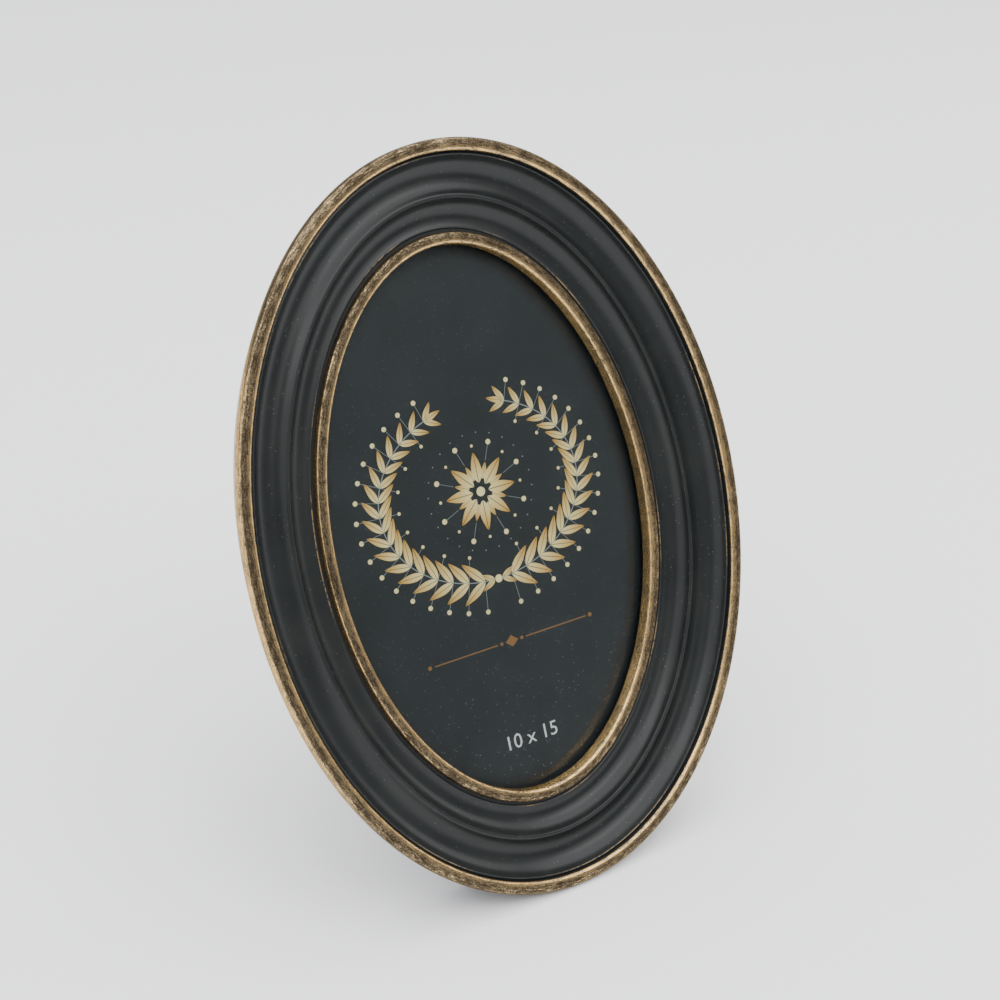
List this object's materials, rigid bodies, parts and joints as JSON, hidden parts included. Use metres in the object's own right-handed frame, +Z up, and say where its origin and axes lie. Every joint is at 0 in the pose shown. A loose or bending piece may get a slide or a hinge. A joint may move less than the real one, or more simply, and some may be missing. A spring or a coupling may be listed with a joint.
{
  "type": "oval picture frame",
  "caption": "Oval tabletop picture frame: dark stepped moulding with an aged gold rim and inner bead, glazed print, folding easel leg and hanging ring.",
  "frame": {"origin": "on the small flat at the foot of the moulding that the frame stands on", "axes": "+X to the viewer's right, -Y out of the picture towards the viewer, +Z up; the picture leans back 22 degrees from upright"},
  "size_m": [0.147, 0.0999, 0.1863],
  "materials": {
    "moulding_finish": "satin",
    "glazing": "gloss",
    "print_paper": "satin",
    "grey_card": "matte",
    "hardboard": "matte",
    "flock_paper": "matte",
    "hinge_steel": "satin",
    "fastener_steel": "satin",
    "button_enamel": "satin",
    "hanger_brass": "satin"
  },
  "bodies": {
    "frame": {"moulding": "moulding_finish", "glass_pane": "glazing", "print_sheet": "print_paper", "packing_card": "grey_card", "back_board": "hardboard", "board_covering": "flock_paper", "hinge_board_leaf": "hinge_steel", "hinge_pin": "hinge_steel", "board_leaf_rivets": "fastener_steel", "turn_button_screws": "fastener_steel", "hanger_strap": "hanger_brass", "hanger_rivet": "fastener_steel"},
    "leg": {"leg_board": "hardboard", "leg_covering": "flock_paper", "hinge_leg_leaf": "hinge_steel", "leg_leaf_rivets": "fastener_steel"},
    "hanger": {"hanger_ring": "hanger_brass"},
    "button_upper_right": {"turn_button_upper_right": "button_enamel"},
    "button_upper_left": {"turn_button_upper_left": "button_enamel"},
    "button_lower_left": {"turn_button_lower_left": "button_enamel"},
    "button_lower_right": {"turn_button_lower_right": "button_enamel"}
  },
  "joints": [
    {"name": "leg_fold", "type": "hinge", "parent": "frame", "child": "leg", "pos_m": [0, 0.05458, 0.12147], "axis": [-1, 0, 0], "range_deg": [0, 35]},
    {"name": "hanger_swing", "type": "hinge", "parent": "frame", "child": "hanger", "pos_m": [0, 0.06344, 0.14593], "axis": [1, 0, 0], "range_deg": [-21, 157]},
    {"name": "button_turn_upper_right", "type": "hinge", "parent": "frame", "child": "button_upper_right", "pos_m": [0.0415, 0.06154, 0.14563], "axis": [0, 0.9272, -0.3746], "continuous": true},
    {"name": "button_turn_upper_left", "type": "hinge", "parent": "frame", "child": "button_upper_left", "pos_m": [-0.0415, 0.06154, 0.14563], "axis": [0, 0.9272, -0.3746], "continuous": true},
    {"name": "button_turn_lower_left", "type": "hinge", "parent": "frame", "child": "button_lower_left", "pos_m": [-0.0415, 0.01433, 0.02879], "axis": [0, 0.9272, -0.3746], "continuous": true},
    {"name": "button_turn_lower_right", "type": "hinge", "parent": "frame", "child": "button_lower_right", "pos_m": [0.0415, 0.01433, 0.02879], "axis": [0, 0.9272, -0.3746], "continuous": true}
  ]
}
